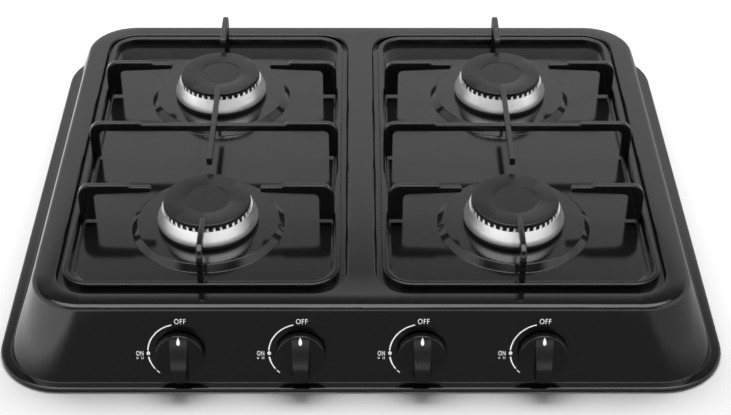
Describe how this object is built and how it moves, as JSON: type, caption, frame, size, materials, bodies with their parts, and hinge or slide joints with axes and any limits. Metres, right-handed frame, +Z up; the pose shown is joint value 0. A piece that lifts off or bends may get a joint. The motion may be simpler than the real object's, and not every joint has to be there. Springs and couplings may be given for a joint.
{
  "type": "gas cooktop",
  "caption": "Table-top gas hob: pressed black steel body with recessed wells, lift-out pan supports, capped burners and push-and-turn knobs on a sloping front.",
  "frame": {"origin": "centre of the footprint at the height that the rubber feet stand on", "axes": "+X to the right of the cook, +Y to the back, +Z up; the knobs face -Y"},
  "size_m": [0.6, 0.533, 0.104],
  "materials": {
    "enamel": "glossy black enamel",
    "support_enamel": "glossy black enamel",
    "cap_enamel": "satin black enamel",
    "base_steel": "zinc-coated sheet",
    "crown_aluminium": "turned, lightly brushed",
    "cup_aluminium": "die-cast, black",
    "tap_aluminium": "die-cast",
    "pipe_aluminium": "drawn tube",
    "brass": "turned",
    "steel": "bright zinc",
    "knob_plastic": "satin black",
    "rubber": "matt"
  },
  "bodies": {
    "cooktop": {"top_panel": "enamel", "base_plate": "base_steel", "rubber_feet": "rubber", "support_posts": "steel", "base_screws": "steel", "burner_cup_front_left": "cup_aluminium", "valve_body_front_left": "tap_aluminium", "burner_cup_rear_left": "cup_aluminium", "valve_body_rear_left": "tap_aluminium", "burner_cup_rear_right": "cup_aluminium", "valve_body_rear_right": "tap_aluminium", "burner_cup_front_right": "cup_aluminium", "valve_body_front_right": "tap_aluminium", "injectors": "brass", "burner_screws": "steel", "bonnet_plates": "steel", "valve_clamps": "steel", "tap_screws": "steel", "knob_seals": "rubber", "gas_rail": "steel", "rail_end_plug": "brass", "supply_pipe": "pipe_aluminium", "inlet_elbow": "brass", "inlet_bracket": "base_steel", "rail_brackets": "base_steel", "feed_pipes_front": "pipe_aluminium", "feed_pipes_rear": "pipe_aluminium", "pipe_nuts": "brass"},
    "pan_support_left": {"pan_support_frame_left": "support_enamel", "pan_support_cross_bar_left": "support_enamel", "pan_support_long_bar_left": "support_enamel", "pan_support_fingers_left": "support_enamel"},
    "pan_support_right": {"pan_support_frame_right": "support_enamel", "pan_support_cross_bar_right": "support_enamel", "pan_support_long_bar_right": "support_enamel", "pan_support_fingers_right": "support_enamel"},
    "crown_front_left": {"burner_crown_front_left": "crown_aluminium"},
    "cap_front_left": {"burner_cap_front_left": "cap_enamel"},
    "crown_rear_left": {"burner_crown_rear_left": "crown_aluminium"},
    "cap_rear_left": {"burner_cap_rear_left": "cap_enamel"},
    "crown_rear_right": {"burner_crown_rear_right": "crown_aluminium"},
    "cap_rear_right": {"burner_cap_rear_right": "cap_enamel"},
    "crown_front_right": {"burner_crown_front_right": "crown_aluminium"},
    "cap_front_right": {"burner_cap_front_right": "cap_enamel"},
    "tap_plug_front_left": {"valve_plug_front_left": "brass"},
    "knob_set_front_left": {"knob_front_left": "knob_plastic", "spindle_front_left": "steel", "knob_spring_front_left": "steel"},
    "tap_plug_rear_left": {"valve_plug_rear_left": "brass"},
    "knob_set_rear_left": {"knob_rear_left": "knob_plastic", "spindle_rear_left": "steel", "knob_spring_rear_left": "steel"},
    "tap_plug_rear_right": {"valve_plug_rear_right": "brass"},
    "knob_set_rear_right": {"knob_rear_right": "knob_plastic", "spindle_rear_right": "steel", "knob_spring_rear_right": "steel"},
    "tap_plug_front_right": {"valve_plug_front_right": "brass"},
    "knob_set_front_right": {"knob_front_right": "knob_plastic", "spindle_front_right": "steel", "knob_spring_front_right": "steel"}
  },
  "joints": [
    {"name": "pan_support_left_lift", "type": "slide", "parent": "cooktop", "child": "pan_support_left", "axis": [0, 0, 1], "range_m": [0, 0.12]},
    {"name": "pan_support_right_lift", "type": "slide", "parent": "cooktop", "child": "pan_support_right", "axis": [0, 0, 1], "range_m": [0, 0.12]},
    {"name": "crown_front_left_lift", "type": "slide", "parent": "cooktop", "child": "crown_front_left", "axis": [0, 0, 1], "range_m": [0, 0.008]},
    {"name": "cap_front_left_lift", "type": "slide", "parent": "crown_front_left", "child": "cap_front_left", "axis": [0, 0, 1], "range_m": [0, 0.06]},
    {"name": "crown_rear_left_lift", "type": "slide", "parent": "cooktop", "child": "crown_rear_left", "axis": [0, 0, 1], "range_m": [0, 0.008]},
    {"name": "cap_rear_left_lift", "type": "slide", "parent": "crown_rear_left", "child": "cap_rear_left", "axis": [0, 0, 1], "range_m": [0, 0.06]},
    {"name": "crown_rear_right_lift", "type": "slide", "parent": "cooktop", "child": "crown_rear_right", "axis": [0, 0, 1], "range_m": [0, 0.008]},
    {"name": "cap_rear_right_lift", "type": "slide", "parent": "crown_rear_right", "child": "cap_rear_right", "axis": [0, 0, 1], "range_m": [0, 0.06]},
    {"name": "crown_front_right_lift", "type": "slide", "parent": "cooktop", "child": "crown_front_right", "axis": [0, 0, 1], "range_m": [0, 0.008]},
    {"name": "cap_front_right_lift", "type": "slide", "parent": "crown_front_right", "child": "cap_front_right", "axis": [0, 0, 1], "range_m": [0, 0.06]},
    {"name": "knob_front_left_turn", "type": "hinge", "parent": "cooktop", "child": "tap_plug_front_left", "pos_m": [-0.1455, -0.24582, 0.03255], "axis": [0, -0.9807, 0.1953], "range_deg": [0, 135]},
    {"name": "knob_front_left_push", "type": "slide", "parent": "tap_plug_front_left", "child": "knob_set_front_left", "axis": [0, 0.9807, -0.1953], "range_m": [0, 0.0022], "stiffness_N_per_m": 900, "springref_m": -0.002, "deforming": ["knob_spring_front_left"]},
    {"name": "knob_rear_left_turn", "type": "hinge", "parent": "cooktop", "child": "tap_plug_rear_left", "pos_m": [-0.0485, -0.24582, 0.03255], "axis": [0, -0.9807, 0.1953], "range_deg": [0, 135]},
    {"name": "knob_rear_left_push", "type": "slide", "parent": "tap_plug_rear_left", "child": "knob_set_rear_left", "axis": [0, 0.9807, -0.1953], "range_m": [0, 0.0022], "stiffness_N_per_m": 900, "springref_m": -0.002, "deforming": ["knob_spring_rear_left"]},
    {"name": "knob_rear_right_turn", "type": "hinge", "parent": "cooktop", "child": "tap_plug_rear_right", "pos_m": [0.0485, -0.24582, 0.03255], "axis": [0, -0.9807, 0.1953], "range_deg": [0, 135]},
    {"name": "knob_rear_right_push", "type": "slide", "parent": "tap_plug_rear_right", "child": "knob_set_rear_right", "axis": [0, 0.9807, -0.1953], "range_m": [0, 0.0022], "stiffness_N_per_m": 900, "springref_m": -0.002, "deforming": ["knob_spring_rear_right"]},
    {"name": "knob_front_right_turn", "type": "hinge", "parent": "cooktop", "child": "tap_plug_front_right", "pos_m": [0.1455, -0.24582, 0.03255], "axis": [0, -0.9807, 0.1953], "range_deg": [0, 135]},
    {"name": "knob_front_right_push", "type": "slide", "parent": "tap_plug_front_right", "child": "knob_set_front_right", "axis": [0, 0.9807, -0.1953], "range_m": [0, 0.0022], "stiffness_N_per_m": 900, "springref_m": -0.002, "deforming": ["knob_spring_front_right"]}
  ]
}
